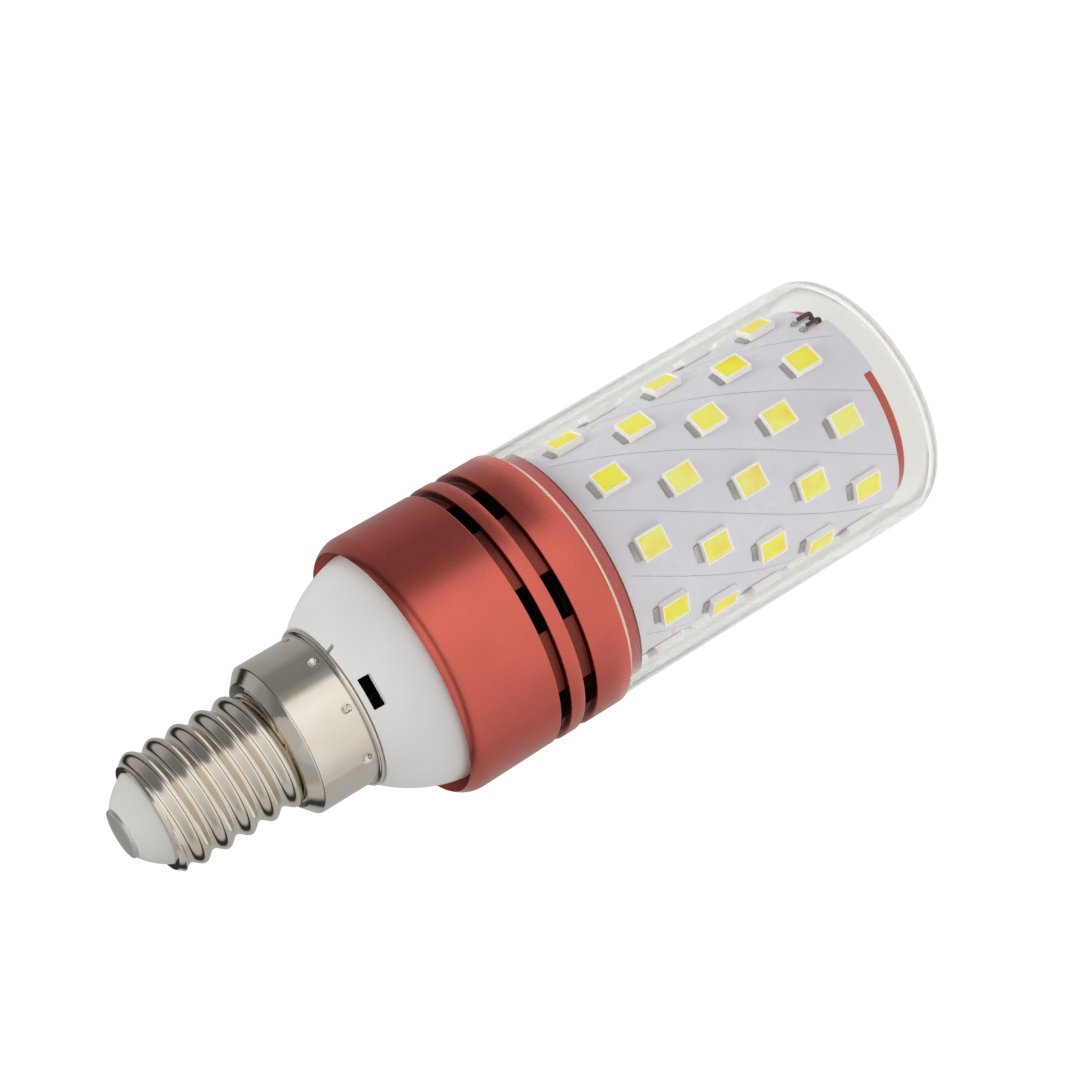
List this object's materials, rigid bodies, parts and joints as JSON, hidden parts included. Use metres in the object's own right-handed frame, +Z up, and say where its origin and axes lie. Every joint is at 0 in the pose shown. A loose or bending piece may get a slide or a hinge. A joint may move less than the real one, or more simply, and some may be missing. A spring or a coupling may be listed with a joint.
{
  "type": "led corn lamp",
  "caption": "LED corn lamp with a small screw cap, white driver housing, red heat-sink ring and clear cover over a column of LEDs.",
  "frame": {"origin": "centre of the clear cover's flat end, on the surface that the lamp stands on", "axes": "+Z up along the lamp's axis, from the cover's flat end to the centre contact; the side that the picture shows faces -Y"},
  "size_m": [0.0308, 0.0308, 0.0988],
  "materials": {
    "clear_plastic": "clear, glossy polycarbonate",
    "red_anodised": "rose-red anodised, satin, finely turned",
    "white_board": "white solder resist, semi-gloss",
    "led_white": "white moulded resin, semi-gloss",
    "phosphor": "yellow phosphor silicone, glossy",
    "tin": "tinned, dull",
    "black_insulation": "black wire insulation",
    "red_insulation": "red wire insulation",
    "white_plastic": "white moulded plastic, semi-gloss",
    "nickel": "bright nickel plate on drawn sheet",
    "insulator_plastic": "white moulded insulator, matt",
    "contact_metal": "dull tinned contact",
    "driver_laminate": "green laminate",
    "capacitor_sleeve": "dark shrink sleeve",
    "film_yellow": "moulded box",
    "ferrite": "dark ferrite",
    "copper": "enamelled copper wire",
    "resistor_green": "flameproof coating",
    "black_package": "black moulded package"
  },
  "bodies": {
    "root": {"clear_cover": "clear_plastic", "heat_sink": "red_anodised", "led_core": "red_anodised", "led_board": "white_board", "led_frames": "led_white", "led_phosphors": "phosphor", "led_terminals": "tin", "led_leads": "black_insulation", "lead_solder": "tin", "driver_housing": "white_plastic", "screw_shell": "nickel", "cap_insulator": "insulator_plastic", "centre_contact": "contact_metal", "driver_board": "driver_laminate", "electrolytic_capacitor": "capacitor_sleeve", "film_capacitor": "film_yellow", "inductor_core": "ferrite", "inductor_winding": "copper", "fuse_resistor": "resistor_green", "bridge_rectifier": "black_package", "driver_chip": "black_package", "sense_resistors": "black_package", "live_wire": "red_insulation", "neutral_wire": "black_insulation"}
  },
  "joints": []
}
